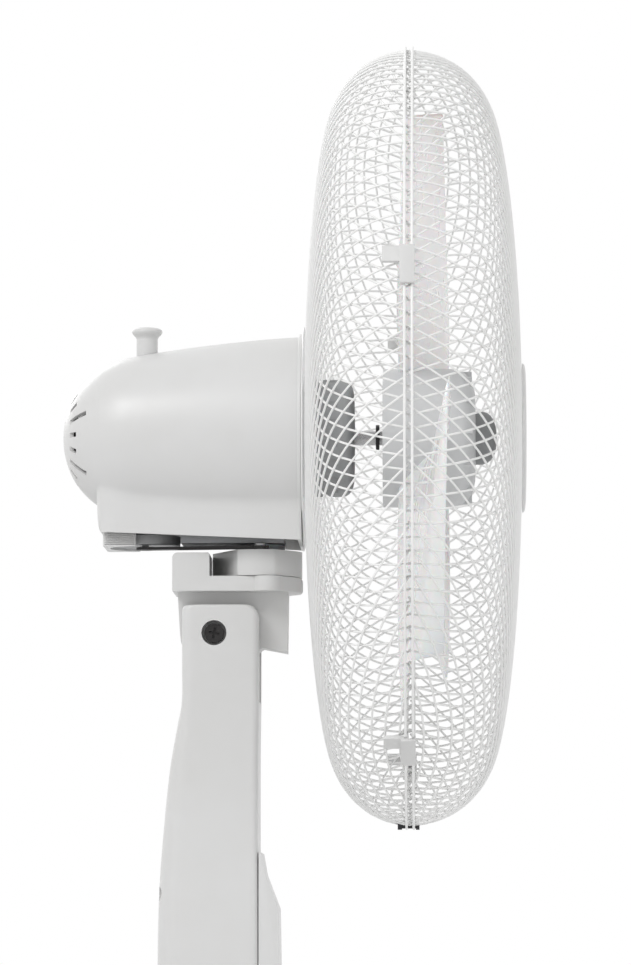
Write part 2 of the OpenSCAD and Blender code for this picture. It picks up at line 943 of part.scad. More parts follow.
knob_top = head_z + 63.2;

module oscillation_knob()
  color(plastic_white)
    translate([crank_x, 0, 0])
      rotate_extrude()
        polygon(concat(
          [[0, head_z - 24], [2, head_z - 24], [2, head_z + 36], [6, head_z + 36]],
          [[6, knob_top - 7]],
          curve([6, knob_top - 7], [6.4, knob_top - 5], [8, knob_top - 5], [8.6, knob_top - 3], 6),
          curve([8.6, knob_top - 3], [8.8, knob_top - 1], [6.5, knob_top - 0.4], [0, knob_top], 6)
        ));

// ---------------------------------------------------------------- rotor

shaft_rear = -25.6;
worm_rear = -39;
shaft_front = 147;
hub_rear = 91;
hub_front = 143;

module motor_shaft()
  color(steel)
    difference() {
      drum(shaft_rear, shaft_front, shaft_d / 2);
      cross_rod(hub_rear + 1, head_z, -10, 10, 1.5);
    }

module rotor_core()
  color(steel)
    drum(-3, 21, 22, shaft_d / 2);

module worm()
  color(steel)
    spin(concat(
      [[0.01, worm_rear], [3, worm_rear]],
      [for (i = [0:5]) each [
        [3.5, worm_rear + i * 2 + 0.5], [4.2, worm_rear + i * 2 + 1.1], [3.5, worm_rear + i * 2 + 1.9]
      ]],
      [[3.5, shaft_rear - 0.1], [0.01, shaft_rear - 0.1]]
    ));

module shaft_pin()
  color(dark_steel)
    union() {
      cross_rod(hub_rear + 1, head_z, -9, 9, 1.5);
      drum(hub_rear - 4, hub_rear - 2, 7.5, shaft_d / 2);
    }

blade_rows = 14;
blade_cols = 10;
blade_mid_x = 114;

// Half the angle that the blade covers at u, 0 at the hub and 1 at the tip
function blade_half(u) = 22 + 24 * sin(90 * min(1, u / 0.55)) - (u > 0.55 ? 46 * pow((u - 0.55) / 0.45, 3.2) : 0);
function blade_sweep(u) = 16 * u * u;

// A point of the blade; v runs from -1 at the leading edge to 1 at the trailing edge
function blade_point(u, v, lift) =
  let (
    r = hub_r - 3 + (blade_tip_r - hub_r + 3) * u,
    a = blade_sweep(u) + v * max(blade_half(u), 1.5),
    x = blade_mid_x - v * (13.5 + 6 * u - 9 * u * u) - 3.5 * (1 - v * v)
  )
  [r * cos(a), r * sin(a), x + lift];

module one_blade() {
  rows = blade_rows;
  cols = blade_cols;
  span = rows * cols;
  polyhedron(
    points = [
      for (lift = [-blade_t / 2, blade_t / 2])
        for (i = [0:rows - 1])
          for (j = [0:cols - 1])
            blade_point(i / (rows - 1), 2 * j / (cols - 1) - 1, lift)
    ],
    faces = concat(
      [for (i = [0:rows - 2]) for (j = [0:cols - 2]) each [
        [i * cols + j, (i + 1) * cols + j, (i + 1) * cols + j + 1],
        [i * cols + j, (i + 1) * cols + j + 1, i * cols + j + 1],
        [span + i * cols + j, span + (i + 1) * cols + j + 1, span + (i + 1) * cols + j],
        [span + i * cols + j, span + i * cols + j + 1, span + (i + 1) * cols + j + 1]
      ]],
      [for (i = [0:rows - 2]) each [
        [i * cols, span + i * cols, span + (i + 1) * cols],
        [i * cols, span + (i + 1) * cols, (i + 1) * cols],
        [i * cols + cols - 1, span + (i + 1) * cols + cols - 1, span + i * cols + cols - 1],
        [i * cols + cols - 1, (i + 1) * cols + cols - 1, span + (i + 1) * cols + cols - 1]
      ]],
      [for (j = [0:cols - 2]) each [
        [j, j + 1, span + j + 1],
        [j, span + j + 1, span + j],
        [span - cols + j, 2 * span - cols + j + 1, span - cols + j + 1],
        [span - cols + j, 2 * span - cols + j, 2 * span - cols + j + 1]
      ]]
    )
  );
}

module fan_blade()
  color([0.88, 0.89, 0.9]) {
    difference() {
      union() {
        spin(concat(
          [[hub_r - 2.2, hub_rear], [hub_r, hub_rear], [hub_r, hub_front - 14]],
          curve(
            [hub_r, hub_front - 14], [hub_r, hub_front - 4],
            [hub_r - 8, hub_front], [hub_r - 18, hub_front], 6
          ),
          [[shaft_d / 2, hub_front], [shaft_d / 2, hub_rear + 2], [9, hub_rear + 2]],
          [[9, hub_front - 2.4], [hub_r - 16, hub_front - 2.4]],
          curve(
            [hub_r - 16, hub_front - 2.4], [hub_r - 8, hub_front - 3],
            [hub_r - 2.2, hub_front - 7], [hub_r - 2.2, hub_front - 14], 6
          )
        ));
        for (i = [0:blade_count - 1])
          translate([0, 0, head_z])
            rotate([i * 360 / blade_count, 0, 0])
              rotate([0, 90, 0])
                rotate([0, 0, 180])
                  one_blade();
      }
      cross_rod(hub_rear + 1, head_z, -9.6, 9.6, 1.6);
    }
  }

module blade_nut()
  color(plastic_grey)
    spin(concat(
      [[shaft_d / 2 + 0.02, hub_front + 0.1], [15, hub_front + 0.1], [15, hub_front + 4]],
      curve(
        [15, hub_front + 4], [14, hub_front + 10],
        [8, hub_front + 12], [0.01, hub_front + 12], 6
      ),
      [[0.01, shaft_front + 0.2], [shaft_d / 2 + 0.02, shaft_front + 0.2]]
    ));

// ---------------------------------------------------------------- gears and linkage

// Spur teeth round a disc
module gear(x, y, z0, z1, r, teeth, bore)
  difference() {
    post(x, y, z0, z1, r);
    for (i = [0:teeth - 1])
      translate([x, y, 0])
        rotate([0, 0, i * 360 / teeth])
          block([r - 1.2, -0.45, z0 - 1], [r + 1, 0.45, z1 + 1]);
    if (bore > 0)
      post(x, y, z0 - 1, z1 + 1, bore);
  }

disc_z0 = table_top + 3.5;
disc_z1 = table_top + 9;
gear_low = case_z0 + 6;
pinion_r = 4.5;
output_r = 11.2;

module worm_wheel()
  color(nylon) {
    gear(worm_x, wheel_y, head_z - 3, head_z + 3, 9, 20, 0);
    gear(worm_x, wheel_y, gear_low, head_z - 3, pinion_r, 10, 0);
    post(worm_x, wheel_y, case_z0 + 1.5, gear_low, 2);
  }

module output_gear()
  color(nylon) {
    gear(crank_x, 0, gear_low + 1, gear_low + 7, output_r, 26, 0);
    post(crank_x, 0, disc_z0 + 0.5, gear_low + 1, 4);
    post(crank_x, 0, gear_low + 7, gear_low + 11, 4);
  }

module crank_disc()
  color(plastic_grey) {
    difference() {
      post(crank_x, 0, disc_z0, disc_z1, 19);
      post(crank_x, 0, disc_z0 - 5, disc_z1 + 5, 4);
    }
    post(crank_x, -crank_throw, link_z1 + 0.4, disc_z0 + 1, 2);
  }

// Bar from the turntable's pin to just under the crank's pin
module link_bar()
  color(dark_steel)
    difference() {
      translate([crank_x, -crank_throw, link_z0])
        rotate([0, 0, -link_turn])
          linear_extrude(height = link_z1 - link_z0)
            polygon(concat(
              arc(link_len, 0, 5, -135, 135, 16),
              arc(0, 0, 5, 45, 315, 16)
            ));
      post(swivel_x, lug_y, link_z0 - 1, link_z1 + 1, 1.5 + fit_gap);
    }

// ---------------------------------------------------------------- assembly

base_cover();
ballast_plate();
base_feet();
base_bolts();
pole_socket();
lower_pole();
pole_collet();
height_collar();
upper_pole();
neck_housing();
control_panel();
panel_screws();
switch_block();
run_capacitor();
cord_gland();
button_0();
button_1();
button_2();
button_3();
pivot_bolt();
pivot_nut();
friction_washers();
tilt_bracket();
turntable();
swivel_post();
link_pin();
motor_frame();
gearbox_case();
rear_bracket();
front_bracket();
stator_core();
stator_windings();
motor_bearings();
motor_cover();
cover_foot();
front_plate();
motor_screws();
rear_guard_plate();
rear_guard_mesh();
rear_guard_rim();
front_guard_rim();
front_guard_mesh();
front_badge();
guard_clips();
rim_screw();
guard_nut();
oscillation_knob();
motor_shaft();
rotor_core();
worm();
shaft_pin();
fan_blade();
blade_nut();
worm_wheel();
output_gear();
crank_disc();
link_bar();
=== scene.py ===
"""Pedestal fan: the looks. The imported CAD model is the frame, and every length is in metres."""
import bpy
import bmesh
import json
import math
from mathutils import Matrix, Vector

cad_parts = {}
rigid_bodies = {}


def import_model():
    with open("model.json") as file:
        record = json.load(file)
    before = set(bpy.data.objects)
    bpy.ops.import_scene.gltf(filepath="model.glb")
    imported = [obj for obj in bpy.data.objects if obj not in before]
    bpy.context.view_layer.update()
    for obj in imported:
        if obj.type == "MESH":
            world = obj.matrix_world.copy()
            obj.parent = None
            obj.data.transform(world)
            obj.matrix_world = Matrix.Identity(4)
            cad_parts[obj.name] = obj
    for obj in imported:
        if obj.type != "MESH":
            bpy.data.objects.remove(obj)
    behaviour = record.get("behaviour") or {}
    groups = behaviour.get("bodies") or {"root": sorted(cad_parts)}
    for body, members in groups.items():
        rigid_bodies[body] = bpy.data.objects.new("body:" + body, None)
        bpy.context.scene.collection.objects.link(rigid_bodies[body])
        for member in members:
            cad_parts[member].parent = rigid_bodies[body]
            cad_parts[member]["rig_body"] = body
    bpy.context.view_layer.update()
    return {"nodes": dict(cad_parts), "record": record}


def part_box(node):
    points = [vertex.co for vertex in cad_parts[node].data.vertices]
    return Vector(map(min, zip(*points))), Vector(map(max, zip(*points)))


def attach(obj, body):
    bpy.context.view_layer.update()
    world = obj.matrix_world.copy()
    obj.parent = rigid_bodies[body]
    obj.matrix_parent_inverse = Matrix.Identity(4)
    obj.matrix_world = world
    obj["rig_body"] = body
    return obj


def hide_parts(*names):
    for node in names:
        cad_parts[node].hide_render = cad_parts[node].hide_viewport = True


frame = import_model()
nodes = frame["nodes"]

# ---------------------------------------------------------------- sizes read from the frame

MM = 0.001
RIM_FRONT_LOW, RIM_FRONT_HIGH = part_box("front_guard_rim")
RIM_REAR_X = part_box("rear_guard_rim")[1][0]
COVER_LOW, COVER_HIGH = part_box("motor_cover")
MESH_FRONT_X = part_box("front_guard_mesh")[1][0]
AXIS_Z = (RIM_FRONT_LOW[2] + RIM_FRONT_HIGH[2]) / 2
RIM_X = (RIM_FRONT_LOW[0] + RIM_REAR_X) / 2
GUARD_R = (RIM_FRONT_HIGH[2] - RIM_FRONT_LOW[2]) / 2
# The dome's middle stands this far past the mesh's inner edge
DOME_RISE = 0.4 * MM
GUARD_DEPTH = MESH_FRONT_X - RIM_X + DOME_RISE
REAR_DEPTH = RIM_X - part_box("rear_guard_mesh")[0][0] + DOME_RISE
WALL = 2.4 * MM
CYLINDER_SIDES = 48
SHARP_ANGLE = math.radians(35)


# ---------------------------------------------------------------- material helpers

def new_material(name):
    """A material, its node tree and its shader."""
    material = bpy.data.materials.new(name)
    material.use_nodes = True
    tree = material.node_tree
    shader = tree.nodes["Principled BSDF"]
    return material, tree, shader


def ramp(tree, source, stops):
    """A colour ramp from (place, colour) stops; a bare number is a grey."""
    node = tree.nodes.new("ShaderNodeValToRGB")
    elements = node.color_ramp.elements
    while len(elements) < len(stops):
        elements.new(0.5)
    for element, (place, colour) in zip(elements, stops):
        element.position = place
        if not isinstance(colour, tuple):
            colour = (colour, colour, colour)
        element.color = (*colour, 1)
    tree.links.new(source, node.inputs["Fac"])
    return node


def noise(tree, coords, scale, detail=3.0, roughness=0.5, stretch=None):
    """Noise over the object's own coordinates, stretched where asked."""
    if stretch is not None:
        mapping = tree.nodes.new("ShaderNodeMapping")
        mapping.inputs["Scale"].default_value = stretch
        tree.links.new(coords, mapping.inputs["Vector"])
        coords = mapping.outputs["Vector"]
    node = tree.nodes.new("ShaderNodeTexNoise")
    node.inputs["Scale"].default_value = scale
    node.inputs["Detail"].default_value = detail
    node.inputs["Roughness"].default_value = roughness
    tree.links.new(coords, node.inputs["Vector"])
    return node.outputs["Fac"]


def mix(tree, factor, a, b):
    """A colour between the fixed colours a and b."""
    node = tree.nodes.new("ShaderNodeMix")
    node.data_type = "RGBA"
    node.inputs[6].default_value = (*a, 1)
    node.inputs[7].default_value = (*b, 1)
    tree.links.new(factor, node.inputs[0])
    return node.outputs[2]


def bump(tree, shader, height, strength, distance):
    """Fine relief from a height."""
    node = tree.nodes.new("ShaderNodeBump")
    node.inputs["Strength"].default_value = strength
    node.inputs["Distance"].default_value = distance
    tree.links.new(height, node.inputs["Height"])
    tree.links.new(node.outputs["Normal"], shader.inputs["Normal"])


PATCH_SCALE = 9.0
WANDER_SCALE = 24.0
GRAIN_DEPTH = 0.2 * MM


def surface(name, colour, dirt, rough, grain, depth, metallic=0.0, stretch=None):
    """A finish: two close colours in soft patches, a roughness that wanders, and a fine grain."""
    material, tree, shader = new_material(name)
    coords = tree.nodes.new("ShaderNodeTexCoord").outputs["Object"]
    patches = ramp(tree, noise(tree, coords, PATCH_SCALE, 4.0, 0.6), [(0.42, 0.0), (0.72, 1.0)])
    tree.links.new(mix(tree, patches.outputs["Color"], colour, dirt), shader.inputs["Base Color"])
    wander = ramp(tree, noise(tree, coords, WANDER_SCALE, 5.0, 0.65), [(0.3, rough[0]), (0.7, rough[1])])
    tree.links.new(wander.outputs["Color"], shader.inputs["Roughness"])
    bump(tree, shader, noise(tree, coords, grain, 2.0, 0.5, stretch), depth, GRAIN_DEPTH)
    shader.inputs["Metallic"].default_value = metallic
    return material


WHITE = (0.69, 0.69, 0.687)
WHITE_WORN = (0.655, 0.652, 0.642)
white_plastic = surface("white_plastic", WHITE, WHITE_WORN, (0.30, 0.40), 2600, 0.10)
white_wire = surface("white_wire", (0.90, 0.90, 0.895), (0.86, 0.86, 0.85), (0.28, 0.42), 1500, 0.25)
white_pole = surface("white_pole", WHITE, WHITE_WORN, (0.25, 0.38), 900, 0.15)
grey_plastic = surface("grey_plastic", (0.34, 0.345, 0.35), (0.29, 0.29, 0.295), (0.45, 0.6), 1800, 0.3)
hub_plastic = surface("hub_plastic", (0.66, 0.665, 0.67), (0.61, 0.615, 0.62), (0.3, 0.42), 1800, 0.15)
dark_steel = surface("dark_steel", (0.035, 0.035, 0.038), (0.07, 0.065, 0.06), (0.3, 0.5), 1400, 0.3, 0.7)
bright_steel = surface(
    "bright_steel", (0.55, 0.55, 0.56), (0.47, 0.46, 0.45), (0.2, 0.34), 700, 0.3, 1.0, (1, 18, 18)
)
chrome = surface("chrome", (0.72, 0.73, 0.74), (0.66, 0.67, 0.68), (0.06, 0.16), 500, 0.05, 1.0)
ballast_paint = surface("ballast_paint", (0.03, 0.03, 0.032), (0.06, 0.05, 0.045), (0.5, 0.7), 600, 0.6, 0.2)
cast_alloy = surface("cast_alloy", (0.42, 0.43, 0.44), (0.35, 0.35, 0.36), (0.45, 0.62), 800, 0.8, 0.9)
bronze = surface("bronze", (0.45, 0.30, 0.13), (0.36, 0.23, 0.10), (0.3, 0.5), 900, 0.4, 1.0)
nylon = surface("nylon", (0.74, 0.70, 0.60), (0.66, 0.61, 0.50), (0.4, 0.55), 1200, 0.25)
rubber = surface("rubber", (0.020, 0.020, 0.021), (0.035, 0.034, 0.033), (0.65, 0.85), 1500, 0.6)


def laminated_steel():
    """Stacked sheets across the X axis, varnished."""
    material, tree, shader = new_material("laminated_steel")
    coords = tree.nodes.new("ShaderNodeTexCoord").outputs["Object"]
    wave = tree.nodes.new("ShaderNodeTexWave")
    wave.bands_direction = "X"
    wave.inputs["Scale"].default_value = 320
    wave.inputs["Distortion"].default_value = 0.4
    tree.links.new(coords, wave.inputs["Vector"])
    stripes = ramp(tree, wave.outputs["Fac"], [(0.2, (0.07, 0.075, 0.085)), (0.8, (0.20, 0.21, 0.22))])
    tree.links.new(stripes.outputs["Color"], shader.inputs["Base Color"])
    shader.inputs["Metallic"].default_value = 0.8
    shader.inputs["Roughness"].default_value = 0.4
    bump(tree, shader, wave.outputs["Fac"], 0.5, 0.0003)
    return material


def wound_copper():
    """Turns of enamelled wire round the X axis."""
    material, tree, shader = new_material("wound_copper")
    coords = tree.nodes.new("ShaderNodeTexCoord").outputs["Object"]
    wave = tree.nodes.new("ShaderNodeTexWave")
    wave.bands_direction = "X"
    wave.inputs["Scale"].default_value = 230
    wave.inputs["Distortion"].default_value = 6
    tree.links.new(coords, wave.inputs["Vector"])
    stripes = ramp(tree, wave.outputs["Fac"], [(0.1, (0.16, 0.05, 0.02)), (0.7, (0.55, 0.21, 0.08))])
    tree.links.new(stripes.outputs["Color"], shader.inputs["Base Color"])
    shader.inputs["Metallic"].default_value = 0.9
    shader.inputs["Roughness"].default_value = 0.35
    bump(tree, shader, wave.outputs["Fac"], 0.8, 0.0006)
    return material


def blade_plastic():
    """White plastic thin enough to let some light through."""
    material, tree, shader = new_material("blade_plastic")
    coords = tree.nodes.new("ShaderNodeTexCoord").outputs["Object"]
    patches = ramp(tree, noise(tree, coords, 14.0, 3.0), [(0.4, 0.0), (0.75, 1.0)])
    colour = mix(tree, patches.outputs["Color"], (0.93, 0.935, 0.94), (0.90, 0.905, 0.91))
    tree.links.new(colour, shader.inputs["Base Color"])
    wander = ramp(tree, noise(tree, coords, 30.0, 4.0), [(0.3, 0.22), (0.7, 0.34)])
    tree.links.new(wander.outputs["Color"], shader.inputs["Roughness"])
    shader.inputs["Subsurface Weight"].default_value = 0.35
    shader.inputs["Subsurface Scale"].default_value = 0.004
    bump(tree, shader, noise(tree, coords, 900.0, 2.0), 0.06, GRAIN_DEPTH)
    return material


LAMINATED = laminated_steel()
WOUND = wound_copper()
BLADE = blade_plastic()

FINISH = {
    "white_plastic": white_plastic,
    "white_wire": white_wire,
    "grey_plastic": grey_plastic,
    "blade_plastic": BLADE,
    "white_pole": white_pole,
    "chrome_pole": chrome,
    "ballast_steel": ballast_paint,
    "dark_screw": dark_steel,
    "bright_steel": bright_steel,
    "cast_alloy": cast_alloy,
    "stator_steel": LAMINATED,
    "copper_wire": WOUND,
    "bearing_bronze": bronze,
    "nylon": nylon,
    "rubber": rubber,
}


SLOTS = {part["node"]: part["material_slot"] for part in frame["record"]["subparts"]}


def dress_frame():
    """Gives every CAD node the finish of its material slot."""
    for name, part in nodes.items():
        material = FINISH[SLOTS[name]]
        if not part.material_slots:
            part.data.materials.append(material)
        for place in part.material_slots:
            place.material = material


# ---------------------------------------------------------------- mesh helpers

def piece(name, verts, faces, material, body, slot, smooth=True):
    """A mesh object that rides on a body."""
    mesh = bpy.data.meshes.new(name)
    mesh.from_pydata(verts, [], faces)
    mesh.validate()
    mesh.materials.append(material)
    obj = bpy.data.objects.new(name, mesh)
    bpy.context.scene.collection.objects.link(obj)
    if smooth:
        mesh.shade_smooth()
    finish_piece(obj, body)
    return obj


def finish_piece(obj, body):
    """Declares what a piece rides on."""
    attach(obj, body)


def apply_modifiers(obj):
    """Makes an object's modifiers part of its mesh."""
    graph = bpy.context.evaluated_depsgraph_get()
    mesh = bpy.data.meshes.new_from_object(obj.evaluated_get(graph))
    obj.modifiers.clear()
    obj.data = mesh


def curve(a, b, c, d, count):
    """Points of a cubic curve from a to d."""
    points = []
    for i in range(count + 1):
        t = i / count
        s = 1 - t
        weights = (s ** 3, 3 * s * s * t, 3 * s * t * t, t ** 3)
        points.append(tuple(sum(w * p[k] for w, p in zip(weights, (a, b, c, d))) for k in range(len(a))))
    return points


def axial(r, x, angle):
    """A point at a radius and a place along the fan's axis; angle is from the top towards -Y."""
    return (x, -r * math.sin(angle), AXIS_Z + r * math.cos(angle))


def rod(start, end, radius):
    """A closed cylinder between two points."""
    start, end = Vector(start), Vector(end)
    along = (end - start).normalized()
    across = along.orthogonal().normalized()
    over = along.cross(across)
    sides = CYLINDER_SIDES
    verts = []
    for middle in (start, end):
        for k in range(sides):
            turn = 2 * math.pi * k / sides
            verts.append(tuple(middle + radius * (math.cos(turn) * across + math.sin(turn) * over)))
    faces = [(k, (k + 1) % sides, sides + (k + 1) % sides, sides + k) for k in range(sides)]
    faces += [tuple(reversed(range(sides))), tuple(range(sides, 2 * sides))]
    return verts, faces


def recalculate(mesh):
    """Turns every face outwards."""
    work = bmesh.new()
    work.from_mesh(mesh)
    bmesh.ops.recalc_face_normals(work, faces=work.faces)
    work.to_mesh(mesh)
    work.free()


def cut_away(obj, shapes):
    """Cuts closed shapes out of an object."""
    recalculate(obj.data)
    for verts, faces in shapes:
        mesh = bpy.data.meshes.new("cutter")
        mesh.from_pydata(verts, [], faces)
        recalculate(mesh)
        cutter = bpy.data.objects.new("cutter", mesh)
        bpy.context.scene.collection.objects.link(cutter)
        cut = obj.modifiers.new("cut", "BOOLEAN")
        cut.operation = "DIFFERENCE"
        cut.solver = "EXACT"
        cut.object = cutter
        apply_modifiers(obj)
        bpy.data.objects.remove(cutter)


# ---------------------------------------------------------------- guard mesh

WIRE_R = 0.62 * MM
WIRE_PITCH = 8.1 * MM
WIRE_SLOPE = math.radians(26.5)
WIRE_TILT = math.radians(10)
WIRE_SIDES = 6
WIRE_STEP = 7 * MM
UPPER_LAYER = -0.6 * MM
LOWER_LAYER = -1.75 * MM
DOME_STEPS = 60


def guard_profile(depth):
    """(arc length, radius, depth) down a dome from its middle to the rim."""
    r = GUARD_R
    shoulder = (0.80 * r, 0.78 * depth)
    inner = curve(
        (0.0, depth - DOME_RISE), (0.40 * r, 0.99 * depth),
        (0.67 * r, 0.90 * depth), shoulder, DOME_STEPS
    )
    outer = curve(
        shoulder, (0.93 * r, 0.66 * depth),
        (r - 3 * MM, 0.34 * depth), (r - 2 * MM, 0.0), DOME_STEPS
    )
    rows = []
    length = 0.0
    last = None
    for point in inner + outer[1:]:
        if last is not None:
            length += math.dist(last, point)
        rows.append((length, point[0], point[1]))
        last = point
    return rows


def on_dome(dome, s):
    """Radius, depth and outward normal (radial, axial) of the dome at arc length s."""
    s = min(max(s, 0.0), dome[-1][0])
    low, high = 0, len(dome) - 1
    while high - low > 1:
        middle = (low + high) // 2
        if dome[middle][0] <= s:
            low = middle
        else:
            high = middle
    a, b = dome[low], dome[high]
    t = (s - a[0]) / (b[0] - a[0])
    radius = a[1] + (b[1] - a[1]) * t
    depth = a[2] + (b[2] - a[2]) * t
    run = math.hypot(b[1] - a[1], b[2] - a[2])
    return radius, depth, (a[2] - b[2]) / run, (b[1] - a[1]) / run


def dome_point(dome, x, y, side, lift):
    """The flat mesh's point (x, y), laid over the dome; side is 1 for the front half."""
    radius, depth, normal_r, normal_x = on_dome(dome, math.hypot(x, y))
    angle = math.atan2(x, y)
    r = radius + lift * normal_r
    return Vector(axial(r, RIM_X + side * (depth + lift * normal_x), angle))


def tube(path, radius, sides, verts, faces):
    """Adds a round wire along a path, with closed ends."""
    count = len(path)
    first = len(verts)
    normal = None
    for i, point in enumerate(path):
        ahead = (path[min(i + 1, count - 1)] - path[max(i - 1, 0)]).normalized()
        if normal is None:
            normal = ahead.orthogonal().normalized()
        else:
            normal = (normal - ahead * normal.dot(ahead)).normalized()
        across = ahead.cross(normal)
        for k in range(sides):
            turn = 2 * math.pi * k / sides
            verts.append(point + radius * (math.cos(turn) * normal + math.sin(turn) * across))
    for i in range(count - 1):
        for k in range(sides):
            a = first + i * sides + k
            b = first + i * sides + (k + 1) % sides
            faces.append((a, b, b + sides, a + sides))
    faces.append(tuple(first + k for k in reversed(range(sides))))
    faces.append(tuple(first + (count - 1) * sides + k for k in range(sides)))


def net_wires(dome, side, inner_s, slope, lift, verts, faces):
    """One family of wires, parallel in the flat mesh before it is pressed into the dome."""
    length = dome[-1][0]
    along = Vector((math.cos(slope), math.sin(slope)))
    across = Vector((-along.y, along.x))
    count = int(length / WIRE_PITCH)
    for i in range(-count, count + 1):
        offset = (i + 0.5) * WIRE_PITCH
        if abs(offset) >= length - 1.5 * MM:
            continue
        half = math.sqrt(length ** 2 - offset ** 2)
        runs = [(-half, half)]
        if abs(offset) < inner_s:
            gap = math.sqrt(inner_s ** 2 - offset ** 2)
            runs = [(-half, -gap), (gap, half)]
        for start, end in runs:
            steps = max(3, round((end - start) / WIRE_STEP))
            path = []
            for k in range(steps + 1):
                place = along * (start + (end - start) * k / steps) + across * offset
                path.append(dome_point(dome, place.x, place.y, side, lift))
            tube(path, WIRE_R, WIRE_SIDES, verts, faces)


def guard_net(name, side, depth, inner_radius, node):
    """The wire net of one guard half: two families, one lying on the other."""
    dome = guard_profile(depth)
    inner_s = next(row[0] for row in dome if row[1] >= inner_radius)
    verts, faces = [], []
    net_wires(dome, side, inner_s, WIRE_TILT + WIRE_SLOPE, UPPER_LAYER, verts, faces)
    net_wires(dome, side, inner_s, WIRE_TILT - WIRE_SLOPE, LOWER_LAYER, verts, faces)
    net = piece(name, verts, faces, white_wire, "head", "white_wire")
    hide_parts(node)


# ---------------------------------------------------------------- fan blade

BLADES = 3
HUB_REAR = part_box("fan_blade")[0][0]
HUB_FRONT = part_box("blade_nut")[0][0] - 0.1 * MM
SHAFT_R = 4 * MM
HUB_R = 39 * MM
TIP_R = 183 * MM
BLADE_T = 2 * MM
BLADE_MID_X = 114 * MM


def blade_half_angle(u):
    """Half the angle that a blade covers, in degrees, from its root at 0 to its tip at 1."""
    rise = 22 + 24 * math.sin(math.radians(90 * min(1, u / 0.55)))
    fall = 46 * ((u - 0.55) / 0.45) ** 3.2 if u > 0.55 else 0
    return max(rise - fall, 1.5)


def blade_point(u, v, lift, turn):
    """A point of a blade; v runs from -1 to 1 across it."""
    r = HUB_R - 3 * MM + (TIP_R - HUB_R + 3 * MM) * u
    angle = 16 * u * u + v * blade_half_angle(u)
    x = BLADE_MID_X - MM * (v * (13.5 + 6 * u - 9 * u * u) + 3.5 * (1 - v * v)) + lift
    return axial(r, x, math.radians(angle + turn))


def fan_blades():
    """The moulded blades, thinner at their edges."""
    rows, cols = 44, 40
    verts, faces = [], []
    for blade in range(BLADES):
        turn = blade * 360 / BLADES
        first = len(verts)
        for face in (-1, 1):
            for i in range(rows):
                for j in range(cols):
                    u = i / (rows - 1)
                    v = 2 * j / (cols - 1) - 1
                    edge = min(1, (1 - abs(v)) * 9, (1 - u) * 14)
                    lift = face * BLADE_T / 2 * (0.25 + 0.70 * math.sqrt(max(edge, 0)))
                    verts.append(blade_point(u, v, lift, turn))
        span = rows * cols
        for i in range(rows - 1):
            for j in range(cols - 1):
                a = first + i * cols + j
                faces.append((a, a + 1, a + cols + 1, a + cols))
                faces.append((a + span, a + span + cols, a + span + cols + 1, a + span + 1))
        rim = [first + i * cols for i in range(rows)]
        rim += [first + (rows - 1) * cols + j for j in range(1, cols)]
        rim += [first + i * cols + cols - 1 for i in range(rows - 2, -1, -1)]
        rim += [first + j for j in range(cols - 2, 0, -1)]
        for a, b in zip(rim, rim[1:] + rim[:1]):
            faces.append((a, b, b + span, a + span))
    return piece("blades", verts, faces, BLADE, "rotor", "blade_plastic")


def lathe(profile, count, verts, faces):
    """Adds a closed (radius, x) outline spun about the fan's axis."""
    first = len(verts)
    size = len(profile)
    for i in range(count):
        turn = 2 * math.pi * i / count
        for r, x in profile:
            verts.append(axial(r, x, turn))
    for i in range(count):
        here, ahead = first + i * size, first + (i + 1) % count * size
        for k in range(size):
            m = (k + 1) % size
            faces.append((here + k, here + m, ahead + m, ahead + k))


def slab(low, high, verts, faces):
    """Adds a box between two corners."""
    first = len(verts)
    for x in (low[0], high[0]):
        for y in (low[1], high[1]):
            for z in (low[2], high[2]):
                verts.append((x, y, z))
    for quad in ((0, 1, 3, 2), (4, 6, 7, 5), (0, 4, 5, 1), (2, 3, 7, 6), (0, 2, 6, 4), (1, 5, 7, 3)):
        faces.append(tuple(first + k for k in quad))


def turned(verts, start, angle):
    """Turns the points from start on about the fan's axis."""
    for i in range(start, len(verts)):
        x, y, z = verts[i]
        r = math.hypot(y, z - AXIS_Z)
        at = math.atan2(-y, z - AXIS_Z)
        verts[i] = axial(r, x, at + angle)


HUB_RIBS = 12
HUB_WALL = 2.2 * MM
HUB_CHAMFER = 0.4 * MM
SLEEVE_R = 9 * MM
RIB_HALF = 0.8 * MM


def fan_hub():
    """The grey hub: a rounded cup with ribs inside and a sleeve round the shaft."""
    front, rear = HUB_FRONT, HUB_REAR
    inside = HUB_R - HUB_WALL
    outer = curve(
        (HUB_R, front - 14 * MM), (HUB_R, front - 4 * MM),
        (HUB_R - 8 * MM, front), (HUB_R - 18 * MM, front), 8
    )
    inner = curve(
        (HUB_R - 16 * MM, front - WALL), (HUB_R - 8 * MM, front - 3 * MM),
        (inside, front - 7 * MM), (inside, front - 14 * MM), 8
    )
    profile = [(inside, rear), (HUB_R - HUB_CHAMFER, rear), (HUB_R, rear + HUB_CHAMFER)] + outer
    profile += [(SHAFT_R, front), (SHAFT_R, rear + 2 * MM)]
    profile += [(SLEEVE_R, rear + 2 * MM), (SLEEVE_R, front - WALL)]
    profile += inner
    verts, faces = [], []
    lathe(profile, 72, verts, faces)
    hub = piece("hub", verts, faces, hub_plastic, "rotor", "grey_plastic")
    hub.data.set_sharp_from_angle(angle=SHARP_ANGLE)
    verts, faces = [], []
    for i in range(HUB_RIBS):
        start = len(verts)
        slab(
            (rear + 4 * MM, -RIB_HALF, AXIS_Z + 8.5 * MM),
            (front - 2 * MM, RIB_HALF, AXIS_Z + HUB_R - 1.5 * MM), verts, faces
        )
        turned(verts, start, 2 * math.pi * i / HUB_RIBS)
    piece("hub_ribs", verts, faces, hub_plastic, "rotor", "grey_plastic", False)
    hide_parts("fan_blade")


# ---------------------------------------------------------------- motor cover

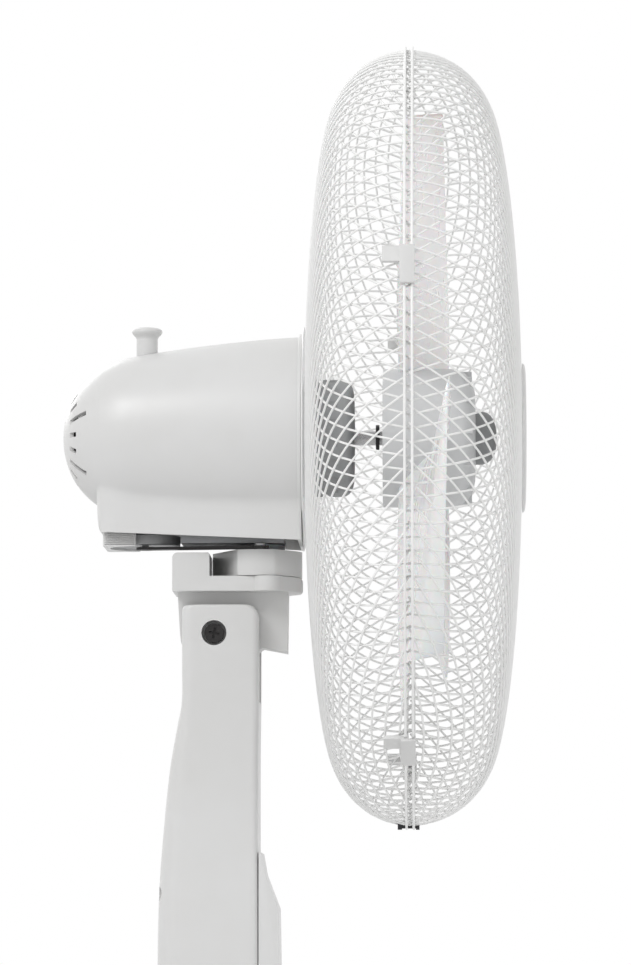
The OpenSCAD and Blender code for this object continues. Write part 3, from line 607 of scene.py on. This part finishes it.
CHIN_REAR_X = -69 * MM
CHIN_CORNER = 10 * MM
CHIN_HALF = 20 * MM
CHIN_SPREAD = 12 / 103
CHIN_DROP = 53.5 * MM
CHIN_FALL = 7.5 / 150
CHIN_FALL_X = -90 * MM
CHIN_ROUND = 3 * MM
CREASE = 2 * MM
VENTS = 18
VENT_R = 21 * MM
VENT_W = 2.6 * MM
VENT_LONG = 13 * MM
VENT_SHORT = 6.5 * MM
VENT_TURN = math.radians(10)
KNOB_HOLE_R = 6.4 * MM
OUTLINE_STEPS = 80
KNOB_X = (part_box("oscillation_knob")[0][0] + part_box("oscillation_knob")[1][0]) / 2


def cover_outline(inset):
    """(radius, x) along the round cover, from its nose to its front edge."""
    rear, front = COVER_LOW[0] + inset, COVER_HIGH[0]
    shoulder = (46 * MM - inset, -50 * MM)
    nose = curve(
        (0.0, rear), (23 * MM, rear), (41 * MM - inset, -74 * MM + inset / 2), shoulder,
        OUTLINE_STEPS
    )
    body = curve(
        shoulder, (50.5 * MM - inset, -26 * MM), (55.5 * MM - inset, 14 * MM), (57 * MM - inset, front),
        OUTLINE_STEPS
    )
    return nose + body[1:]


def radius_at(outline, x):
    """The outline's radius at x."""
    for a, b in zip(outline, outline[1:]):
        if a[1] <= x <= b[1]:
            return a[0] + (b[0] - a[0]) * (x - a[1]) / max(b[1] - a[1], 1e-9)
    return outline[-1][0] if x > outline[-1][1] else 0.0


def soft_max(a, b, k):
    """The larger of two lengths, blended where they are close."""
    near = max(k - abs(a - b), 0) / k
    return max(a, b) + near * near * k / 4


def chin_size(x, inset):
    """Half width and drop of the box under the cover at x."""
    past = x - (CHIN_REAR_X + CHIN_CORNER)
    half = CHIN_HALF + CHIN_CORNER + past * CHIN_SPREAD
    if past < inset:
        half = CHIN_HALF + math.sqrt(max(CHIN_CORNER ** 2 - (past - inset) ** 2, 0)) + inset
    drop = CHIN_DROP + (x - CHIN_FALL_X) * CHIN_FALL
    return half - inset, drop


def cover_ring(x, r, grow, inset, cols, open_cols):
    """One ring of the cover's surface; grow is how far the chin has come out."""
    half, drop = chin_size(max(x, CHIN_REAR_X + inset + 0.2 * MM), inset)
    corner = math.atan2(half, drop)
    points = []
    for k in range(cols + open_cols):
        if k < open_cols:
            turn = -corner + 2 * corner * k / open_cols
        else:
            turn = corner + (2 * math.pi - 2 * corner) * (k - open_cols) / cols
        down, side = math.cos(turn), abs(math.sin(turn))
        reach = r
        if down > 0:
            box = min(half / max(side, 1e-6), drop / down)
            reach = r + (soft_max(r, box, CREASE) - r) * grow
        points.append((x, reach * math.sin(turn), AXIS_Z - reach * math.cos(turn)))
    return points


def motor_cover():
    """The round cover that runs down into a box with an open bottom, and its vents."""
    cols, open_cols = 96, 16
    size = cols + open_cols
    rings = []
    for inset in (0.0, WALL):
        outline = cover_outline(inset)
        chin_x = CHIN_REAR_X + inset
        nose = [p for p in outline if p[1] < chin_x - 0.1 * MM]
        picked = [nose[round(i * (len(nose) - 1) / 16)] for i in range(17)]
        stations = [(max(r, 0.3 * MM), x, 0.0) for r, x in picked]
        for i in range(8):
            turn = math.pi / 2 * i / 7
            x = chin_x + CHIN_ROUND * (1 - math.cos(turn))
            stations.append((radius_at(outline, x), x, math.sin(turn)))
        first = chin_x + CHIN_ROUND
        for i in range(1, 25):
            x = first + (COVER_HIGH[0] - first) * i / 24
            stations.append((radius_at(outline, x), x, 1.0))
        rings.append([cover_ring(x, r, grow, inset, cols, open_cols) for r, x, grow in stations])
    rows = len(rings[0])
    open_row = 17 + 7
    verts = [p for shell in rings for ring in shell for p in ring]
    span = rows * size
    faces = []
    for i in range(rows - 1):
        for k in range(size):
            if i >= open_row and k < open_cols:
                continue
            m = (k + 1) % size
            a, b, c, d = i * size + k, i * size + m, (i + 1) * size + m, (i + 1) * size + k
            faces.append((a, d, c, b))
            faces.append((a + span, b + span, c + span, d + span))
    for start in (0, span):
        ring = [start + k for k in range(size)]
        faces.append(tuple(ring if start == 0 else reversed(ring)))
    edge = [open_row * size + k for k in range(open_cols + 1)]
    edge += [i * size + open_cols for i in range(open_row + 1, rows)]
    edge += [(rows - 1) * size + k for k in range(open_cols + 1, size)]
    edge += [i * size for i in range(rows - 1, open_row, -1)]
    for a, b in zip(edge, edge[1:] + edge[:1]):
        faces.append((a, b, b + span, a + span))
    cover = piece("cover", verts, faces, white_plastic, "head", "white_plastic")
    cut_vents(cover)
    cover.data.set_sharp_from_angle(angle=math.radians(38))
    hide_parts("motor_cover")


def cut_vents(cover):
    """Cuts the slots round the nose and the hole for the knob."""
    verts, faces = [], []
    for i in range(VENTS):
        start = len(verts)
        length = VENT_LONG if i % 3 == 0 else VENT_SHORT
        slab(
            (COVER_LOW[0] - 5 * MM, -VENT_W / 2, AXIS_Z + VENT_R),
            (-60 * MM, VENT_W / 2, AXIS_Z + VENT_R + length), verts, faces
        )
        turned(verts, start, 2 * math.pi * i / VENTS + VENT_TURN)
    knob_hole = rod((KNOB_X, 0, AXIS_Z + 30 * MM), (KNOB_X, 0, AXIS_Z + 62 * MM), KNOB_HOLE_R)
    cut_away(cover, [(verts, faces), knob_hole])


# ---------------------------------------------------------------- neck

NECK_LOW, NECK_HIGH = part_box("neck_housing")
BOLT_LOW, BOLT_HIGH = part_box("pivot_bolt")
PIVOT_X = (BOLT_LOW[0] + BOLT_HIGH[0]) / 2
PIVOT_Z = (BOLT_LOW[2] + BOLT_HIGH[2]) / 2
NECK_LENGTH = PIVOT_Z - NECK_LOW[2]
EAR_REAR, EAR_FRONT, EAR_WIDTH = -21 * MM, NECK_HIGH[0], 54 * MM
EAR_CORNER = 6 * MM
FRONT_CORNER = 4 * MM
SLOT_DROP = 38 * MM
# Drop below the pivot, rear, front, width and corner of the neck's sections
NECK = [
    (NECK_LENGTH, -25 * MM, 21 * MM, 50 * MM, 12 * MM),
    (NECK_LENGTH - 7 * MM, -30 * MM, 21.6 * MM, 57 * MM, 12 * MM),
    (NECK_LENGTH - 24 * MM, -34 * MM, 21.6 * MM, 61 * MM, 12 * MM),
    (190 * MM, -34.3 * MM, 21.6 * MM, 62 * MM, 12 * MM),
    (143 * MM, -33.5 * MM, 21.6 * MM, 60 * MM, 12 * MM),
    (105 * MM, -30.7 * MM, 21.6 * MM, 57 * MM, 11 * MM),
    (75 * MM, -27.6 * MM, 21.6 * MM, 55 * MM, 10 * MM),
    (52 * MM, -23.6 * MM, 21.8 * MM, EAR_WIDTH, 8 * MM),
    (SLOT_DROP, EAR_REAR, EAR_FRONT, EAR_WIDTH, EAR_CORNER),
    (20 * MM, EAR_REAR, EAR_FRONT, EAR_WIDTH, EAR_CORNER),
]
NECK_ROUND = 8
NECK_STEPS = 4
EAR_STEPS = 12
EAR_REAR_ROUND = 3.4 * MM
EAR_FRONT_ROUND = 7 * MM
EAR_EDGE_ROUND = 1.2 * MM
FLOOR = 3 * MM
ROOF = 6 * MM
SCREWS = [(side * 20 * MM, PIVOT_Z - drop * MM) for drop in (145, 275) for side in (-1, 1)]
WELL_R = 4 * MM
WELL_X = -2 * MM
BOSS_R = 5.5 * MM
SLOT_HALF = 14 * MM
OPENING_HALF = 24.2 * MM
BOLT_HOLE_R = 4.05 * MM
RECESS_R = 7 * MM
RECESS_DEPTH = 10 * MM
POLE_HOLE_R = 10.05 * MM
GLAND_HOLE_R = 6 * MM
GLAND_RISE = 34 * MM
# Cutting shapes reach this far, past every side of the neck
REACH = 60 * MM


def neck_ring(z, rear, front, width, corner):
    """A rounded rectangle at height z, tighter at the front corners."""
    points = []
    tight = min(corner, FRONT_CORNER)
    ahead, behind = front - tight, rear + corner
    corners = ((ahead, 1, tight), (behind, 1, corner), (behind, -1, corner), (ahead, -1, tight))
    for i, (x, side, radius) in enumerate(corners):
        for k in range(NECK_ROUND + 1):
            turn = math.pi / 2 * (i + k / NECK_ROUND)
            y = side * (width / 2 - radius)
            points.append((x + radius * math.cos(turn), y + radius * math.sin(turn), z))
    return points


def between(rows, i, t):
    """A smooth step from row i to the next one."""
    before, a, b, after = rows[max(i - 1, 0)], rows[i], rows[i + 1], rows[min(i + 2, len(rows) - 1)]
    blend = []
    for p, q, r, u in zip(before, a, b, after):
        square = p - 2.5 * q + 2 * r - u / 2
        cube = 1.5 * (q - r) + (u - p) / 2
        blend.append(q + t * (r - p) / 2 + t * t * square + t ** 3 * cube)
    return blend


def loft(rings):
    """A closed skin through rings of equal length."""
    size = len(rings[0])
    verts = [p for ring in rings for p in ring]
    faces = []
    for i in range(len(rings) - 1):
        for k in range(size):
            m = (k + 1) % size
            faces.append((i * size + k, i * size + m, (i + 1) * size + m, (i + 1) * size + k))
    faces.append(tuple(reversed(range(size))))
    faces.append(tuple(range(len(verts) - size, len(verts))))
    return verts, faces


def step_in(z, top, radius):
    """How far a rounded top edge has drawn in at z."""
    above = min(max(z - (top - radius), 0), radius)
    return radius - math.sqrt(radius * radius - above * above)


def neck_outside():
    """The neck's outer form, up to the rounded tops of its ears."""
    rings = []
    for i in range(len(NECK) - 1):
        for k in range(NECK_STEPS):
            drop, rear, front, width, corner = between(NECK, i, k / NECK_STEPS)
            rings.append(neck_ring(PIVOT_Z - drop, rear, min(front, EAR_FRONT), width, corner))
    top = NECK_HIGH[2]
    for i in range(EAR_STEPS + 1):
        z = top - EAR_FRONT_ROUND * (1 - math.sin(math.pi / 2 * i / EAR_STEPS))
        rear = EAR_REAR + step_in(z, top, EAR_REAR_ROUND)
        front = EAR_FRONT - step_in(z, top, EAR_FRONT_ROUND)
        width = EAR_WIDTH - 2 * step_in(z, top, EAR_EDGE_ROUND)
        rings.append(neck_ring(z, rear, front, width, EAR_CORNER))
    return loft(rings)


def neck_inside():
    """The hollow in the neck, between its floor and the roof under the slot."""
    rings = []
    low, high = NECK_LOW[2] + FLOOR, PIVOT_Z - SLOT_DROP - ROOF
    for drop, rear, front, width, corner in NECK:
        z = min(max(PIVOT_Z - drop, low), high)
        if not rings or z > rings[-1][0][2] + 0.1 * MM:
            rings.append(neck_ring(z, rear + WALL, front - WALL, width - 2 * WALL, corner - WALL))
    return loft(rings)


def cross_rod(y0, y1, radius):
    """A cylinder along the pivot's axis."""
    return rod((PIVOT_X, y0, PIVOT_Z), (PIVOT_X, y1, PIVOT_Z), radius)


def neck():
    """The hollow neck with its slot, bolt hole, front opening and screw wells."""
    verts, faces = neck_outside()
    shell = piece("neck", verts, faces, white_plastic, "mast", "white_plastic")
    base, half = NECK_LOW[2], EAR_WIDTH / 2
    slot, opening = ([], []), ([], [])
    slab((-REACH, -SLOT_HALF, PIVOT_Z - SLOT_DROP), (REACH, SLOT_HALF, PIVOT_Z + REACH), *slot)
    slab((14 * MM, -OPENING_HALF, base + 12 * MM), (40 * MM, OPENING_HALF, PIVOT_Z - 128 * MM), *opening)
    cut_away(shell, [
        neck_inside(), slot, opening,
        cross_rod(-REACH, REACH, BOLT_HOLE_R),
        cross_rod(-REACH, RECESS_DEPTH - half, RECESS_R),
        cross_rod(half - RECESS_DEPTH, REACH, RECESS_R),
        rod((0, 0, base - 10 * MM), (0, 0, base + 20 * MM), POLE_HOLE_R),
        rod((-50 * MM, 0, base + GLAND_RISE), (-20 * MM, 0, base + GLAND_RISE), GLAND_HOLE_R),
    ] + [rod((-REACH, y, z), (WELL_X, y, z), WELL_R) for y, z in SCREWS])
    shell.data.set_sharp_from_angle(angle=SHARP_ANGLE)
    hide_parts("neck_housing")
    for i, (y, z) in enumerate(SCREWS):
        tube_shape = rod((-29 * MM, y, z), (1 * MM, y, z), BOSS_R)
        boss = piece("neck_boss_%d" % i, *tube_shape, white_plastic, "mast", "white_plastic")
        cut_away(boss, [rod((-40 * MM, y, z), (WELL_X, y, z), WELL_R)])
        boss.data.set_sharp_from_angle(angle=SHARP_ANGLE)


# ---------------------------------------------------------------- softened mouldings

SOFT_EDGES = {
    "tilt_bracket": 0.9,
    "turntable": 1.3,
    "front_plate": 0.6,
    "control_panel": 1.4,
    "button_0": 0.8,
    "button_1": 0.8,
    "button_2": 0.8,
    "button_3": 0.8,
    "pole_socket": 0.8,
    "rear_guard_plate": 0.3,
    "guard_clips": 0.5,
    "guard_nut": 0.6,
    "base_feet": 0.8,
    "crank_disc": 0.4,
}


def softened(node, width):
    """A copy of a CAD node whose moulded edges are rounded."""
    source = nodes[node]
    mesh = source.data.copy()
    obj = bpy.data.objects.new(node + "_soft", mesh)
    bpy.context.scene.collection.objects.link(obj)
    work = bmesh.new()
    work.from_mesh(mesh)
    bmesh.ops.remove_doubles(work, verts=work.verts, dist=1e-6)
    bmesh.ops.dissolve_limit(work, angle_limit=math.radians(0.5), verts=work.verts, edges=work.edges)
    work.to_mesh(mesh)
    work.free()
    rounding = obj.modifiers.new("rounding", "BEVEL")
    rounding.width = width * MM
    rounding.segments = 3
    rounding.limit_method = "ANGLE"
    rounding.angle_limit = math.radians(40)
    rounding.use_clamp_overlap = True
    apply_modifiers(obj)
    obj.data.shade_smooth()
    obj.data.set_sharp_from_angle(angle=math.radians(32))
    finish_piece(obj, source["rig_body"])
    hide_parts(node)


# ---------------------------------------------------------------- stage

FRAME_HEIGHT = 0.543
VIEW_DISTANCE = 3.0
VIEW_TARGET = Vector((0.0530, 0, 1.0351))
VIEW_AZIMUTH = math.radians(1.2)
VIEW_ELEVATION = math.radians(-5)


def camera():
    data = bpy.data.cameras.new("camera")
    data.sensor_fit = "VERTICAL"
    data.sensor_height = 24
    data.lens = 24 * VIEW_DISTANCE / FRAME_HEIGHT
    data.clip_end = 50
    obj = bpy.data.objects.new("camera", data)
    bpy.context.scene.collection.objects.link(obj)
    away = Vector((
        math.sin(VIEW_AZIMUTH) * math.cos(VIEW_ELEVATION),
        -math.cos(VIEW_AZIMUTH) * math.cos(VIEW_ELEVATION),
        math.sin(VIEW_ELEVATION),
    ))
    obj.location = VIEW_TARGET + away * VIEW_DISTANCE
    obj.rotation_euler = (-away).to_track_quat("-Z", "Y").to_euler()
    bpy.context.scene.camera = obj


def area_light(name, place, aim, size, power):
    data = bpy.data.lights.new(name, "AREA")
    data.shape = "RECTANGLE"
    data.size, data.size_y = size
    data.energy = power
    obj = bpy.data.objects.new(name, data)
    bpy.context.scene.collection.objects.link(obj)
    obj.location = place
    obj.rotation_euler = (Vector(aim) - Vector(place)).to_track_quat("-Z", "Y").to_euler()


def studio():
    """A pale floor, a bright even surround and three soft lights."""
    world = bpy.data.worlds.new("studio")
    world.use_nodes = True
    tree = world.node_tree
    coords = tree.nodes.new("ShaderNodeTexCoord").outputs["Generated"]
    parts = tree.nodes.new("ShaderNodeSeparateXYZ")
    tree.links.new(coords, parts.inputs["Vector"])
    glow = ramp(tree, parts.outputs["Y"], [(0.0, 0.64), (0.75, 1.0)])
    tree.links.new(glow.outputs["Color"], tree.nodes["Background"].inputs["Color"])
    tree.nodes["Background"].inputs["Strength"].default_value = 1.0
    bpy.context.scene.world = world
    area_light("key", (-1.6, -2.0, 3.0), (0, 0, 0.95), (1.2, 1.2), 42)
    area_light("fill", (2.6, -2.2, 1.4), (0, 0, 0.95), (1.6, 1.6), 12)
    area_light("rim", (-1.2, 2.6, 2.2), (0, 0, 1.0), (1.4, 1.4), 12)
    bpy.ops.mesh.primitive_plane_add(size=14, location=(0, 0, -0.0002))
    floor = bpy.context.object
    floor.name = "floor"
    material, tree, shader = new_material("floor")
    coords = tree.nodes.new("ShaderNodeTexCoord").outputs["Object"]
    tone = ramp(tree, noise(tree, coords, 3.0), [(0.3, 0.80), (0.7, 0.84)])
    tree.links.new(tone.outputs["Color"], shader.inputs["Base Color"])
    shader.inputs["Roughness"].default_value = 0.6
    floor.data.materials.append(material)


# ---------------------------------------------------------------- making

bpy.context.scene.view_settings.view_transform = "Standard"
camera()
studio()
dress_frame()
for node, width in SOFT_EDGES.items():
    softened(node, width)
guard_net("front_net", 1, GUARD_DEPTH, 40 * MM, "front_guard_mesh")
guard_net("rear_net", -1, REAR_DEPTH, 62.5 * MM, "rear_guard_mesh")
fan_blades()
fan_hub()
motor_cover()
neck()
